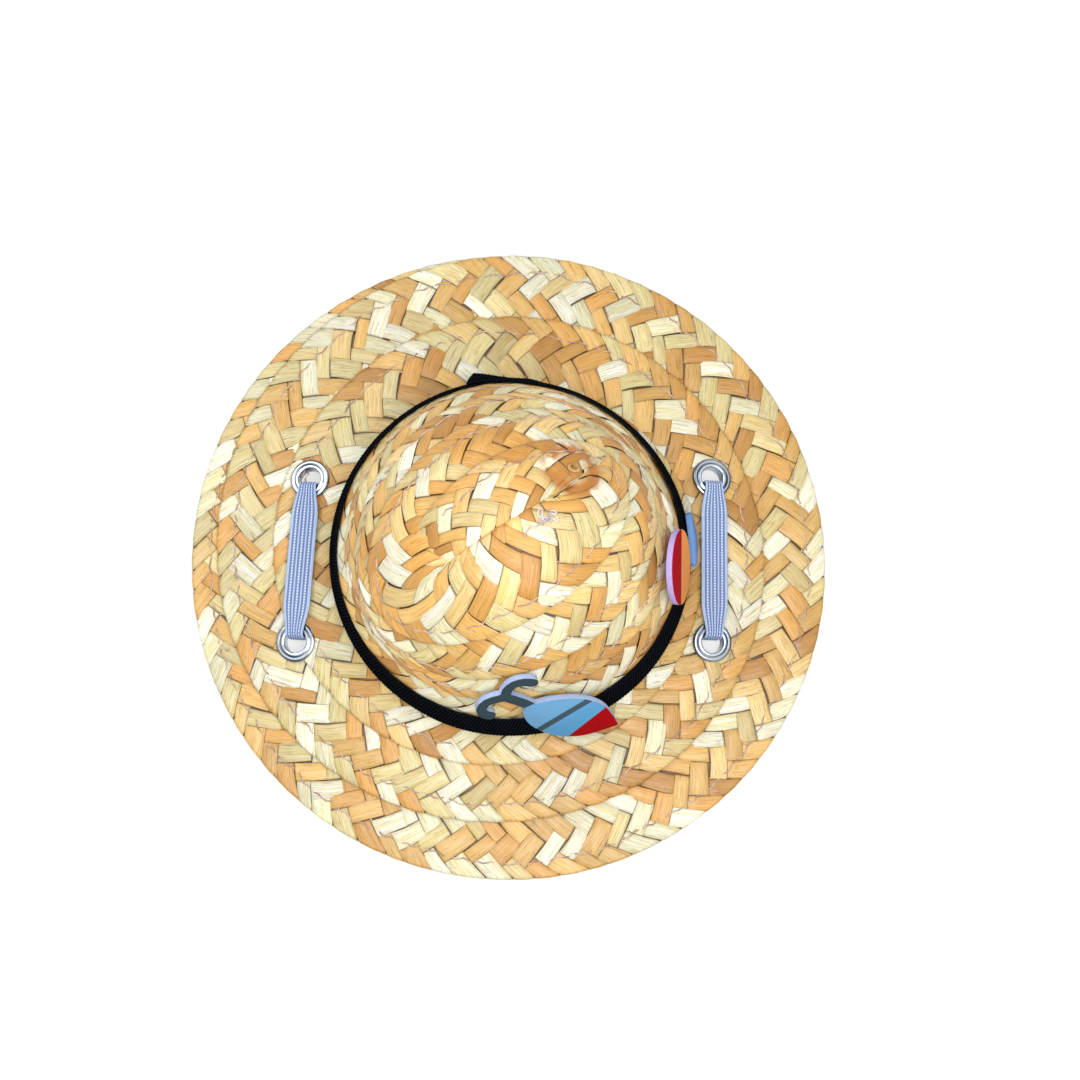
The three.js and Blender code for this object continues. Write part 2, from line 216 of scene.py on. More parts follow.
# how far the crown bulges over the band, towards which side, and how far round that reaches
BULGE, BULGE_SIDE, BULGE_REACH = 1.5, np.radians(200), 1.15
TURNS = np.arange(FIRST_TURN, LAST_TURN, 0.002)


def smooth_table(table, x, half_width):
    """A table read in straight lines, with its corners rounded by a running mean."""
    spread = np.linspace(-half_width, half_width, 9)
    return np.mean([np.interp(x + s, table[:, 0], table[:, 1]) for s in spread], axis=0)


def outer_edge(turn):
    """How far out from the seam the plait's outer edge is."""
    return smooth_table(EDGE, turn, 0.04)


def covered_edge(turn):
    """How far out the row above covers this one: the edge one turn before, the seam in the first
    turn, and nothing on the first run."""
    before = outer_edge(turn - 1)
    first = lerp(-10, 0, smoothstep((turn - 0.2) / 0.08))
    first = lerp(first, before, smoothstep((turn - 0.84) / 0.14))
    return np.where(turn < 0.98, first, before)


def inner_edge(turn):
    """The inner edge: a whole plait's width in, and at least tucked under the row above. In the first
    turn it is only tucked under, and at first it stops at the seam."""
    tucked = covered_edge(turn) - OVERLAP
    plain = np.where(turn < 0.9, tucked, np.minimum(tucked, outer_edge(turn) - PLAIT_WIDTH))
    return np.where(turn < 0.24, np.maximum(plain, 0), plain)


def oval_to_map(distance, turn):
    """The flat map's point at a distance out from the seam: the seam's own point for that
    direction, stretched along its axis, plus the distance along the direction."""
    angle = START_ANGLE - 2 * np.pi * turn
    stretch = np.interp(distance, OVAL[:, 0], OVAL[:, 1])
    shift = stretch / OVAL[0, 1]
    along = stretch * np.cos(angle)
    x = SEAM_MIDDLE[0] * shift + along * SEAM_AXIS[0] + distance * np.cos(angle + SEAM_TURN)
    y = SEAM_MIDDLE[1] * shift + along * SEAM_AXIS[1] + distance * np.sin(angle + SEAM_TURN)
    return x, y


def left_bulge(azimuth, length):
    """How far the crown bulges over the band on its left side: most at the band's upper edge."""
    rise = smoothstep((length - BAND_TOP_LENGTH + 40) / 40) * smoothstep((FOOT_LENGTH - length) / 12)
    from_left = np.angle(np.exp(1j * (azimuth - BULGE_SIDE)))
    return BULGE * rise * np.exp(-((from_left / BULGE_REACH) ** 2))


def straw_sway(azimuth, length):
    """The slow unevenness of a hand-sewn hat, nothing at the middle of the crown, and the bulge."""
    wave = 0.16 * np.sin(3 * azimuth + 0.7 + length * 0.03) + 0.1 * np.sin(7 * azimuth + 2.1)
    wave += 0.08 * np.sin(13 * azimuth - 1.3 + length * 0.08)
    return (wave + 0.2) * smoothstep((length - 20) / 50) + left_bulge(azimuth, length)


def row_height(turn, distance):
    """The height of a row's middle: low where the row above covers it, up to the hat's outer face
    past that, pressed in along the stitches, let down onto the table at the rim, and tucked under at
    the plait's start."""
    rise = smoothstep((distance - covered_edge(turn)) / ROW_RISE)
    rise = rise * smoothstep((turn - START_TUCKED) / START_RISE)
    height = lerp(COVERED, BARE, rise)
    from_stitch = distance - outer_edge(turn) + STITCH_INSET
    height = height - STITCH_DENT * np.exp(-((from_stitch / DENT_WIDTH) ** 2))
    droop = smoothstep((distance - RIM + DROOP_WIDTH) / DROOP_WIDTH)
    droop = droop * smoothstep((turn - LAST_ROW) / DROOP_START)
    return np.maximum(height - RIM_DROOP * droop, COVERED)


def on_plait(turn, distance, height):
    """Points on a row of plait, at a height off its middle."""
    x, y = oval_to_map(distance, turn)
    length = np.minimum(np.hypot(x, y), RIM)
    azimuth = np.arctan2(y, x)
    return on_hat(length, azimuth, row_height(turn, distance) + straw_sway(azimuth, length) + height)


MIDDLE_SHARE = 0.62  # how far across the plait its length is measured
MIDDLE_LINE = on_plait(TURNS, lerp(inner_edge(TURNS), outer_edge(TURNS), MIDDLE_SHARE), 0)
RUN = length_along(MIDDLE_LINE)


def turn_at(run):
    """The turn at a length along the plait."""
    return np.interp(run, RUN, TURNS)


# ---------------------------------------------------------------- meshes

def link(obj):
    bpy.context.scene.collection.objects.link(obj)
    return obj


def add_mesh(name, points, quads, caps, material):
    """A mesh from millimetre points, four-cornered faces, and end faces of any number of corners."""
    mesh = bpy.data.meshes.new(name)
    loops = np.concatenate([quads.ravel(), *[np.asarray(c).ravel() for c in caps]]).astype(np.int32)
    sizes = np.concatenate([np.full(len(quads), 4), [len(c) for c in caps]]).astype(np.int32)
    mesh.vertices.add(len(points))
    mesh.vertices.foreach_set("co", (np.asarray(points) * MM).ravel().astype(np.float32))
    mesh.loops.add(len(loops))
    mesh.loops.foreach_set("vertex_index", loops)
    mesh.polygons.add(len(sizes))
    mesh.polygons.foreach_set("loop_start", np.r_[0, np.cumsum(sizes)[:-1]].astype(np.int32))
    mesh.polygons.foreach_set("use_smooth", np.full(len(sizes), True))
    mesh.update(calc_edges=True)
    mesh.materials.append(material)
    return link(bpy.data.objects.new(name, mesh))


def tube_quads(rows, ring, closed=False):
    """The faces of a grid whose rows are closed rings, from row to row, and round again if closed."""
    count = rows if closed else rows - 1
    row, step = np.meshgrid(np.arange(count), np.arange(ring), indexing="ij")
    after = (row + 1) % rows
    beside = (step + 1) % ring
    corners = [row * ring + step, row * ring + beside, after * ring + beside, after * ring + step]
    return np.stack(corners, axis=-1).reshape(-1, 4)


def end_caps(rows, ring, first=0):
    """The two end faces of a tube whose points start at a number, or of several such tubes."""
    start = np.arange(ring) + first
    return [start[..., ::-1], start + (rows - 1) * ring]


def put_attribute(mesh, name, kind, domain, values):
    layer = mesh.attributes.new(name, kind, domain)
    key = {"FLOAT": "value", "FLOAT_COLOR": "color", "FLOAT_VECTOR": "vector"}[kind]
    layer.data.foreach_set(key, np.asarray(values, np.float32).ravel())


def put_uv(mesh, name, per_point):
    """A UV layer from one pair of numbers for each point."""
    corner = np.empty(len(mesh.loops), np.int32)
    mesh.loops.foreach_get("vertex_index", corner)
    layer = mesh.uv_layers.new(name=name)
    layer.uv.foreach_set("vector", np.asarray(per_point, np.float32)[corner].ravel())


def edit_mesh(mesh, change):
    """Opens a mesh for editing, makes a change to it, and writes it back."""
    shape = bmesh.new()
    shape.from_mesh(mesh)
    change(shape)
    shape.to_mesh(mesh)
    shape.free()


def fix_sides(obj):
    """Turns all faces of closed shells to point outwards."""
    edit_mesh(obj.data, lambda shape: bmesh.ops.recalc_face_normals(shape, faces=shape.faces))


# ---------------------------------------------------------------- the plait's straws

WAVE = 0.25  # how far a straw lies above or below the plait's middle
HALF_THICKNESS = 0.15
CROWN_ACROSS = 0.04  # how far a straw's edges curl down from its middle
FULLNESS = 1.06  # a straw's width, as a share of its own room between its neighbours
TABLE_GAP = 0.02  # the least height of any straw above the table
STRAW_BOW, STRAW_UNEVEN = 0.7, 0.05  # how far a straw bows along the plait, and its width changes
STRAW_TILT, SCALLOP = 0.075, 0.34  # how far it tilts, and its corners are drawn in at a fold
END_TUCK, END_SINK = 1.5, 0.5  # over what length the plait's ends sink, and how far
# how often a leg starts a new straw, and how often a straw is laid in with its inside up
NEW_STRAW_CHANCE, FLIPPED_CHANCE = 0.4, 0.5
FADE_RANGE = (0.83, 1.09)  # how much darker or paler a leg may be than its straw
CUT_TONE = 0.4  # the grey of the straws' cut ends
STRAW_WELD = 1e-7  # in metres
# Across a straw: the upper face from its left edge to its right one, and back along the lower face.
ACROSS = np.array([-1, -0.88, 0, 0.88, 1, 0.88, 0, -0.88])
# How far each of those points is off the straw's middle, in half thicknesses.
FACE_SIDE = np.array([0, 0.85, 1, 0.85, 0, -0.85, -1, -0.85])
RING = len(ACROSS)
# Along one crossing of the plait, in straw widths: closer together where the straw dips. The first
# two and the last are points of the folds.
STEPS = np.array([
    0, 0.1, 0.22, 0.6, 0.95, 1.25, 1.5, 1.75, 2.05, 2.5, 2.95, 3.25, 3.5,
    3.75, 4.05, 4.5, 4.95, 5.25, 5.5, 5.75, 6.05, 6.4, 6.78, 6.9,
])
FOLD_STEPS = [0, 1, -1]
FOLD_ANGLE = np.radians([[0], [45], [-45]])
# A straw running outwards lies over its neighbours at crossings 0, 1, 4 and 5, and the one that
# runs inwards does so at the others: each goes over two and under two.
OUTWARD_OVER = np.array([1, 1, -1, -1, 1, 1, -1, -1])
MARKS = int(RUN[-1] / PERIOD) + 12
FIRST_MARK = -8
inner_marks = rng.uniform(-0.2, 0.2, MARKS) * PERIOD
outer_marks = rng.uniform(-0.2, 0.2, MARKS) * PERIOD


def mark(shifts, index):
    """A small uneven shift of the line between two straws, at any mark, also between marks."""
    return np.interp(index - FIRST_MARK, np.arange(MARKS), shifts)


def outward_line(index, across):
    """Where the line between two outward straws is along the plait, at a place across it."""
    uneven = lerp(mark(inner_marks, index), mark(outer_marks, index + 3), across / PLAIT_WIDTH)
    return index * PERIOD + across + uneven


def inward_line(index, across):
    """The same between two inward straws, which meet the outward ones in folds at both edges."""
    uneven = lerp(mark(inner_marks, index + 4), mark(outer_marks, index), across / PLAIT_WIDTH)
    return (index + 4) * PERIOD - across + uneven


def over_or_under(crossing):
    """1 where an outward straw is on top, -1 where it is under, with a smooth dip between."""
    cell = np.floor(crossing + 0.5)
    past = crossing - cell
    side = np.sign(past)
    here = OUTWARD_OVER[np.clip(cell, 0, 7).astype(int)]
    there = OUTWARD_OVER[np.clip(cell + side, 0, 7).astype(int)]
    share = smoothstep((np.abs(past) - 0.5) / 0.56 + 0.5)
    return lerp(here, there, share)


def straw_rows(legs, straw):
    """The rows of points of one straw for its legs across the plait, before it is folded.

    Even legs run outwards and odd ones inwards. Each is a sheared strip between two lines, a little
    bowed. Returns, for each (leg, step, point of the section): the leg's number and way, the step and
    place across the straw, its run along and its place across the plait, how near it is to an edge of
    the plait, and how much it is lifted (1) or pressed down (-1) where it meets other straws.
    """
    outward = legs % 2 == 0
    index = straw - STRAWS + STRAWS * (legs // 2) + np.where(outward, 0, 3)
    way = np.where(outward, 1, -1)[:, None, None]
    step = STEPS[None, :, None]
    q = ACROSS[None, None, :]
    skew = smoothstep(step) * smoothstep(7 - step)
    across = step * PERIOD / 2 - q * PERIOD / 4 * skew
    across = np.where(way > 0, across, PLAIT_WIDTH - across)
    near_edge = smoothstep(1 - np.minimum(step, 7 - step))
    index = index[:, None, None]
    left = np.where(way > 0, outward_line(index, across), inward_line(index, across))
    right = np.where(way > 0, outward_line(index + 1, across), inward_line(index + 1, across))
    bow = STRAW_BOW * np.sin(np.pi * across / PLAIT_WIDTH) * np.sin(1.7 * index + 2 * (way > 0))
    uneven = STRAW_UNEVEN * np.sin(2.1 * step + 5.3 * index + 2 * q)
    run = lerp(left, right, 0.5 + q / 2 * (FULLNESS - 0.05 * near_edge + uneven)) + bow
    met_outward = (run - across) / PERIOD
    met_outward = met_outward - (outward_line(met_outward, across) - run) / PERIOD
    met_inward = (run + across) / PERIOD - 4
    met_inward = met_inward - (inward_line(met_inward, across) - run) / PERIOD
    crossing = np.where(way > 0, met_inward + 3.5 - index, index + 4.5 - met_outward)
    lift = over_or_under(crossing) * way
    return index, way, step, q, run, across, near_edge, lift


def make_straw(straw, first_run, last_run):
    """The legs of one straw whose middles lie between two lengths along the plait, how far its first
    face is in view (1) or hidden (-1) at each point, and a function that places the points for a
    share of its thickness.

    At both edges of the plait a half circle folds one leg into the next, which turns the straw over:
    its first face is up on the way outwards and down on the way back.
    """
    legs = np.arange(0, 2 * MARKS // STRAWS + 4)
    middle = (straw - STRAWS + STRAWS * legs / 2 + 2.25) * PERIOD
    legs = legs[(middle >= first_run) & (middle < last_run)]
    index, way, step, q, run, across, near_edge, lift = straw_rows(legs, straw)
    tilt = STRAW_TILT * np.sin(2.3 * index + way) * q
    flat = WAVE * lift - CROWN_ACROSS * q**2 + tilt
    fold = np.zeros(step.shape)
    fold[:, FOLD_STEPS] = FOLD_ANGLE
    is_fold = np.zeros(step.shape, bool)
    is_fold[:, FOLD_STEPS] = True
    at_start = step < 3
    outer_fold = np.where(way > 0, ~at_start, at_start)
    scallop = SCALLOP * q**4 * near_edge
    fold_across = WAVE * (1 - np.cos(fold))
    edge_across = np.where(outer_fold, PLAIT_WIDTH - fold_across, fold_across)
    across = np.where(is_fold, edge_across, across)
    across = across + np.where(outer_fold, -scallop, scallop)
    height = np.where(is_fold, WAVE * np.sin(fold), flat)
    side = FACE_SIDE[None, None, :] * HALF_THICKNESS
    lean_across = np.where(is_fold, -np.cos(fold), 0) * np.ones_like(way)
    lean_height = np.where(is_fold, np.where(outer_fold, -1, 1) * np.sin(fold), way)
    shape = np.broadcast_shapes(run.shape, height.shape)
    run, across, height = (np.broadcast_to(a, shape) for a in (run, across, height))
    past_end = smoothstep(np.maximum(END_TUCK - run, run - RUN[-1] + END_TUCK) / END_TUCK)
    turn = turn_at(np.clip(run, 0, RUN[-1]))

    def place(thickness):
        over = across + lean_across * side * thickness
        out = lerp(inner_edge(turn), outer_edge(turn), over / PLAIT_WIDTH)
        up = height + lean_height * side * thickness - END_SINK * past_end
        return on_plait(turn, out, up)

    return legs, lift * way, place


def straw_colours(legs, brightness_and_painted_light):
    """A colour for each face of each leg. A new straw is laid in now and then, and a straw's two
    faces differ: a glossy skin and a paler inside."""
    fresh = rng.random(len(legs)) < NEW_STRAW_CHANCE
    fresh[0] = True
    straws = np.cumsum(fresh) - 1
    skin = rng.choice(len(SKIN_TONES), straws[-1] + 1, p=SKIN_SHARES)
    inside = rng.choice(len(INSIDE_TONES), straws[-1] + 1, p=INSIDE_SHARES)
    flipped = rng.random(straws[-1] + 1) < FLIPPED_CHANCE
    first = np.where(flipped[straws, None], INSIDE_TONES[inside][straws], SKIN_TONES[skin][straws])
    second = np.where(flipped[straws, None], SKIN_TONES[skin][straws], INSIDE_TONES[inside][straws])
    # each leg's colour is scaled by the plait's brightness, which on the crown is raised as painted
    # light
    fade = rng.uniform(*FADE_RANGE, (2, len(legs), 1)) * brightness_and_painted_light
    return first * fade[0], second * fade[1]


SKIN_TONES = np.array([linear(c) for c in ("DAA85D", "C4914A", "E3BC76", "D8C692", "E4D7A6")])
SKIN_SHARES = [0.28, 0.17, 0.25, 0.17, 0.13]
INSIDE_TONES = np.array([linear(c) for c in ("F4F5E8", "E9E8CC", "E8CC90", "DDD2A0", "DAB068")])
INSIDE_SHARES = [0.34, 0.22, 0.2, 0.14, 0.1]


# ---------------------------------------------------------------- the eyelets' places

EYELETS = ["eyelet_right_back", "eyelet_right_front", "eyelet_left_back", "eyelet_left_front"]
EYELET_TOP = 1.1  # how far an eyelet's dome stands above the straw
HOLE_RADIUS = 4.1
HOLE_DEPTH = 6  # how far above and below the straw's upper face a hole reaches


def brim_up(azimuth):
    """Straight up off the slope of the brim at an azimuth."""
    side = np.sin(BRIM_SLOPE)
    return np.array([side * np.cos(azimuth), side * np.sin(azimuth), np.cos(BRIM_SLOPE)])


def eyelet_frame(node):
    """Where an eyelet's axis meets the upper face of the straw, and the way the axis points up."""
    points = np.array([v.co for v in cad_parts[node].data.vertices]) / MM
    middle = points.mean(axis=0)
    axis = brim_up(np.arctan2(middle[1], middle[0]))
    top = ((points - middle) @ axis).max()
    return middle + axis * (top - EYELET_TOP), axis


def open_holes(points):
    """Moves points that lie inside an eyelet's hole out to its edge. Returns which ones those are."""
    inside = np.zeros(len(points), bool)
    for node in EYELETS:
        middle, axis = eyelet_frame(node)
        from_middle = points - middle
        up = from_middle @ axis
        spoke = from_middle - up[:, None] * axis
        radius = np.linalg.norm(spoke, axis=1)
        hit = (radius < HOLE_RADIUS) & (np.abs(up) < HOLE_DEPTH)
        points[hit] += spoke[hit] * (HOLE_RADIUS / np.maximum(radius[hit], 0.01) - 1)[:, None]
        inside |= hit
    return inside


def straw_mesh(straw, first_run, last_run, brightness_and_painted_light):
    """One straw's points, and for each of its faces the points it joins, its colour, how far each
    corner is in view on its own side of the plait, and its place across and along the straw."""
    legs, exposed, place = make_straw(straw, first_run, last_run)
    points = place(1.0).reshape(-1, 3)
    middle = place(0.0).reshape(-1, 3)
    inside = open_holes(middle)
    points[inside] = middle[inside]
    points[:, 2] = np.maximum(points[:, 2], TABLE_GAP)
    rows = len(points) // RING
    per_leg = rows // len(legs)
    faces = tube_quads(rows, RING)
    kept = ~inside[faces].all(axis=1)
    step = np.arange(len(faces)) % RING
    upper = step < RING // 2
    first, second = straw_colours(legs, brightness_and_painted_light)
    leg = faces[:, 0] // RING // per_leg
    tone = np.where(upper[:, None], first[leg], second[leg])
    show = exposed.reshape(-1)[faces] * np.where(upper, 1, -1)[:, None]
    along = np.repeat(np.arange(rows), RING) * (PLAIT_WIDTH * np.sqrt(2) / per_leg)
    q = ACROSS[(step[:, None] + [0, 1, 1, 0]) % RING] * STRAW_WIDTH / 2
    grain = along[faces] + np.where(upper, 0, 40)[:, None] + 90 * straw
    strand = np.stack([q, grain], axis=-1)
    for corners in (faces, show, strand):  # both sides of a straw bend along the same diagonals
        corners[~upper] = np.roll(corners[~upper], 1, axis=1)
    return points, faces[kept], tone[kept], show[kept], strand[kept]


def weld_straws(shape):
    """Joins points that share a place, and drops points that no face is left on."""
    bmesh.ops.remove_doubles(shape, verts=shape.verts, dist=STRAW_WELD)
    loose = [v for v in shape.verts if not v.link_faces]
    bmesh.ops.delete(shape, geom=loose, context="VERTS")


def make_plait(name, first_run, last_run, brightness_and_painted_light, material):
    """All seven straws between two lengths along the plait, as one mesh."""
    straws = [straw_mesh(straw, first_run, last_run, brightness_and_painted_light) for straw in range(STRAWS)]
    points, faces, tone, show, strand = zip(*straws)
    sizes = [len(p) for p in points]
    firsts = np.cumsum([0, *sizes[:-1]])
    faces = np.concatenate([f + first for f, first in zip(faces, firsts)])
    caps = [cap for size, first in zip(sizes, firsts) for cap in end_caps(size // RING, RING, first)]
    plait = add_mesh(name, np.concatenate(points), faces, caps, material)
    tone = np.vstack([*tone, np.full((len(caps), 3), CUT_TONE)])
    tone = np.column_stack([tone, np.ones(len(tone))])
    put_attribute(plait.data, "tone", "FLOAT_COLOR", "FACE", tone)
    corners = len(caps) * RING
    show = np.r_[np.concatenate(show).ravel(), np.zeros(corners)]
    # how far each corner is in view; the finish paints shade where a straw dips under another
    put_attribute(plait.data, "exposed", "FLOAT", "CORNER", show)
    strand = np.vstack([np.concatenate(strand).reshape(-1, 2), np.zeros((corners, 2))])
    layer = plait.data.uv_layers.new(name="strand")
    layer.uv.foreach_set("vector", strand.astype(np.float32).ravel())
    edit_mesh(plait.data, weld_straws)
    return plait


# ---------------------------------------------------------------- stitching

THREAD = 0.22  # the thread's radius
STITCH_STEP, STITCH_SHARE = 6.6, 0.94
STITCH_WANDER, HOLE_SHIFT = 0.75, 0.8  # how uneven the needle holes are, across and along


def tubes(paths, radius, ring=4):
    """Closed tubes along many paths at once, given as (tube, step, point). Each step's ring lies in
    the plane of two directions square to the path."""
    along = np.gradient(paths, axis=1)
    along /= np.linalg.norm(along, axis=2)[..., None]
    side = np.cross(along, [0.13, 0.21, 0.97])
    side /= np.linalg.norm(side, axis=2)[..., None]
    over = np.cross(side, along)
    angle = 2 * np.pi * np.arange(ring) / ring
    around = np.cos(angle)[:, None] * side[:, :, None] + np.sin(angle)[:, None] * over[:, :, None]
    count, steps = paths.shape[:2]
    points = (paths[:, :, None] + radius * around).reshape(-1, 3)
    first = np.arange(count)[:, None] * steps * ring
    quads = tube_quads(steps, ring)[None] + first[:, :, None]
    return points, quads.reshape(-1, 4)[:, ::-1], np.vstack(end_caps(steps, ring, first))[:, ::-1]


def stitch_paths(first_turn, last_turn, side):
    """A row of stitches along the plait's outer edge, on its upper side (1) or its lower one (-1).

    Each runs from one wandering needle hole to the next, flat on the straw, and dives in at its ends.
    """
    first, last = np.interp([first_turn, last_turn], TURNS, RUN)
    hole = np.arange(first, last, STITCH_STEP)
    hole += rng.uniform(-HOLE_SHIFT, HOLE_SHIFT, len(hole))
    wander = rng.uniform(-1, 1, len(hole)) * STITCH_WANDER
    t = np.linspace(0, 1, 9)
    run = lerp(hole[:-1, None], hole[1:, None], 0.5 + (t - 0.5) * STITCH_SHARE)
    turn = turn_at(run)
    sway = lerp(wander[:-1, None], wander[1:, None], t) + 0.3 * np.sin(9 * t + 5 * wander[:-1, None])
    distance = outer_edge(turn) - STITCH_INSET + sway
    height = WAVE + HALF_THICKNESS + THREAD * 0.5 - 0.85 * np.abs(2 * t - 1) ** 7
    paths = on_plait(turn, distance, side * height)
    behind_band = (distance > BAND_TOP_LENGTH - 1) & (distance < FOOT_LENGTH + 3.5) & (side > 0)
    return paths[~behind_band.any(axis=1)]


def make_stitching(name, first_turn, last_turn, material):
    """Both sides' stitches of a stretch of the spiral, kept clear of the table."""
    paths = np.concatenate([stitch_paths(first_turn, last_turn, side) for side in (1, -1)])
    paths[..., 2] = np.maximum(paths[..., 2], THREAD + 0.05)
    return add_mesh(name, *tubes(paths, THREAD), material)


def make_tangle(material):
    """A loose tangle of thread on top of the crown: three small figures of eight, each turned its own
    way, and a loose end that wanders off."""
    t = np.linspace(0, 1, 40)[None, :]
    turn = np.array([0.3, 1.1, 2.4])[:, None]
    size = np.array([2.4, 1.6, 2])[:, None]
    loop = 2 * np.pi * t
    along = size * np.sin(loop) + np.cos(5 * turn)
    over = -0.5 * size * np.sin(2 * loop + 0.6) + 0.7 * np.sin(7 * turn)
    x = np.vstack([along * np.cos(turn) + over * np.sin(turn), -6.5 * t])
    y = np.vstack([along * np.sin(turn) - over * np.cos(turn), -5 * t + 0.5 * np.sin(11 * t)])
    height = np.vstack([0.2 + 0.25 * np.sin(3 * loop + turn) + 0.12 * turn, 0.35 - 0.2 * t])
    paths = on_map(TANGLE_MAP[0] + x, TANGLE_MAP[1] + y, height)
    return add_mesh("thread_tangle", *tubes(paths, THREAD * 0.9), material)


CURL_STEPS = 46


def make_start_curl(material):
    """The plait's first end: a narrow straw curled almost one turn inwards to a small dark eye, its
    width and height along it following the curl."""
    t = np.linspace(0, 1, CURL_STEPS)[:, None]
    angle = 0.6 - 1.8 * np.pi * t
    radius = lerp(2.1, 0.4, t**0.7) + 0.25 * np.sin(1.7 * angle + 1)
    width = lerp(1.7, 0.6, t) * smoothstep(t / 0.2)
    q = np.array([-1, -0.6, 0, 0.6, 1, 0.6, 0, -0.6])[None, :]
    side = np.array([0, 0.8, 1, 0.8, 0, -0.8, -1, -0.8])[None, :] * 0.16
    reach = radius + q * width / 2
    x = START_MAP[0] + reach * np.cos(angle)
    y = START_MAP[1] + reach * np.sin(angle)
    height = 0.12 + 0.5 * t + side - 0.35 * q * t - 0.5 * (1 - smoothstep(t / 0.2))
    points = on_map(x, y, height).reshape(-1, 3)
    ring = q.shape[1]
    ends = end_caps(CURL_STEPS, ring)
    curl = add_mesh("start_curl", points, tube_quads(CURL_STEPS, ring), ends, material)
    fix_sides(curl)
    return curl


# ---------------------------------------------------------------- band

RIBS, RIB_HEIGHT = 330, 0.17
RIB_SLANT = 0.05  # how far round the hat a rib leans from the lower edge to the upper one
# the band's section: up its height from the lower edge, and out from the wall
BAND_SECTION = np.array([
    (0, 0.52), (0.2, 0.72), (1.5, 0.8), (4, 0.82), (8.7, 0.82), (11.2, 0.8), (12.5, 0.72),
    (12.7, 0.52), (12.5, 0.34), (6.3, 0.32), (0.2, 0.34),
])
TAIL_START, TAIL_END_LOW, TAIL_END_HIGH = np.radians([79, 103, 103.8])
TAIL_LAP, TAIL_LIFT, TAIL_COLUMNS = 0.6, 2.3, 88


def on_wall(up, azimuth, out):
    """Points up the straight wall from the band's lower edge, at an azimuth, and out from the wall."""
    z = BAND_LOW_Z + up * np.cos(CROWN_LEAN)
    out = out + left_bulge(azimuth, BAND_TOP_LENGTH + BAND_HEIGHT - up)
    r = FOOT_RADIUS - np.tan(CROWN_LEAN) * (z - FOOT_Z) + out * np.cos(CROWN_LEAN)
    z = z + out * np.sin(CROWN_LEAN)
    return np.stack([r * np.cos(azimuth), r * np.sin(azimuth), z], axis=-1)


def band_rows(azimuth, lift):
    """The band's section at each azimuth, leaning over as the ribs do, lifted off the wall, with the
    ribs on its outer face."""
    up, out = BAND_SECTION[None, :, 0], BAND_SECTION[None, :, 1]
    slant = RIB_SLANT * (up / BAND_HEIGHT - 0.5)
    up = up * (1 - 0.2 * np.exp(-((np.angle(np.exp(1j * (azimuth - 0.9))) / 1.1) ** 2)))
    rib = 0.5 + 0.5 * np.cos(RIBS * azimuth)
    outer = smoothstep((out - 0.45) / 0.3)
    waver = 0.14 * np.sin(5 * azimuth + 1) + 0.08 * np.sin(11 * azimuth)
    place = on_wall(up + waver, azimuth + slant, out + outer * RIB_HEIGHT * (rib - 0.5) + lift)
    return place, np.broadcast_to(rib, place.shape[:2]), np.broadcast_to(up, place.shape[:2])


def make_band(material):
    """The closed ring of ribbon, and the free end that laps over it and stands off, cut slantwise."""
    columns = RIBS * 4
    ring = len(BAND_SECTION)
    around = (2 * np.pi * np.arange(columns) / columns)[:, None]
    loop, loop_rib, loop_up = band_rows(around, 0)
    along = np.linspace(0, 1, TAIL_COLUMNS)[:, None]
    end = lerp(TAIL_END_LOW, TAIL_END_HIGH, BAND_SECTION[None, :, 0] / BAND_HEIGHT)
    azimuth = lerp(TAIL_START, end, along)
    twist = 1.25 - 1.1 * BAND_SECTION[None, :, 0] / BAND_HEIGHT
    lift = TAIL_LAP * smoothstep(along / 0.25) - 0.12
    lift = lift + TAIL_LIFT * twist * smoothstep((along - 0.45) / 0.75)
    tail, tail_rib, tail_up = band_rows(azimuth, lift)
    points = np.vstack([loop.reshape(-1, 3), tail.reshape(-1, 3)])
    count = columns * ring
    quads = tube_quads(columns, ring, closed=True)
    quads = np.vstack([quads, tube_quads(TAIL_COLUMNS, ring) + count])
    ends = end_caps(TAIL_COLUMNS, ring, count)
    band = add_mesh("grosgrain_band", points, quads, ends, material)
    # the ribs' phase, which the finish turns into a painted highlight on the ribs and painted shade
    # between them
    put_attribute(band.data, "rib", "FLOAT", "POINT", np.r_[loop_rib.ravel(), tail_rib.ravel()])
    run = np.arctan2(points[:, 1], points[:, 0]) * FOOT_RADIUS
    put_uv(band.data, "weave", np.column_stack([np.r_[loop_up.ravel(), tail_up.ravel()], run]))
    fix_sides(band)
    return band


# ---------------------------------------------------------------- eyelets

# the turned section of an eyelet: distance from its axis, and height above the straw
EYELET_SECTION = np.array([
    (3.1, 0.55), (3.13, 0.8), (3.26, 1), (3.5, 1.09), (3.8, 1.08), (4.06, 0.98), (4.22, 0.84),
    (4.38, 0.8), (4.56, 0.86), (4.85, 0.9), (5.15, 0.85), (5.42, 0.68), (5.6, 0.44), (5.64, 0.26),
    (5.5, 0.16), (5, 0.14), (3.62, 0.14), (3.6, -2.2), (4.3, -2.26), (4.7, -2.36), (4.88, -2.55),
    (4.8, -2.76), (4.5, -2.88), (4, -2.9), (3.5, -2.84), (3.2, -2.66), (3.1, -2.4), (3.1, -1),
])
# how dark each point of that section is painted: painted shade and painted reflections in the hole, in
# the ring between the dome and the flange, and from the flange's outer edge down
EYELET_PAINTED_SHADE = np.interp(
    np.arange(len(EYELET_SECTION)),
    [0, 1, 2, 4, 5, 7, 8, 9, 10, 27], [0.9, 0.9, 0.2, 0, 0.8, 1, 0.9, 0.1, 0.8, 1],
)
EYELET_STEPS = 64


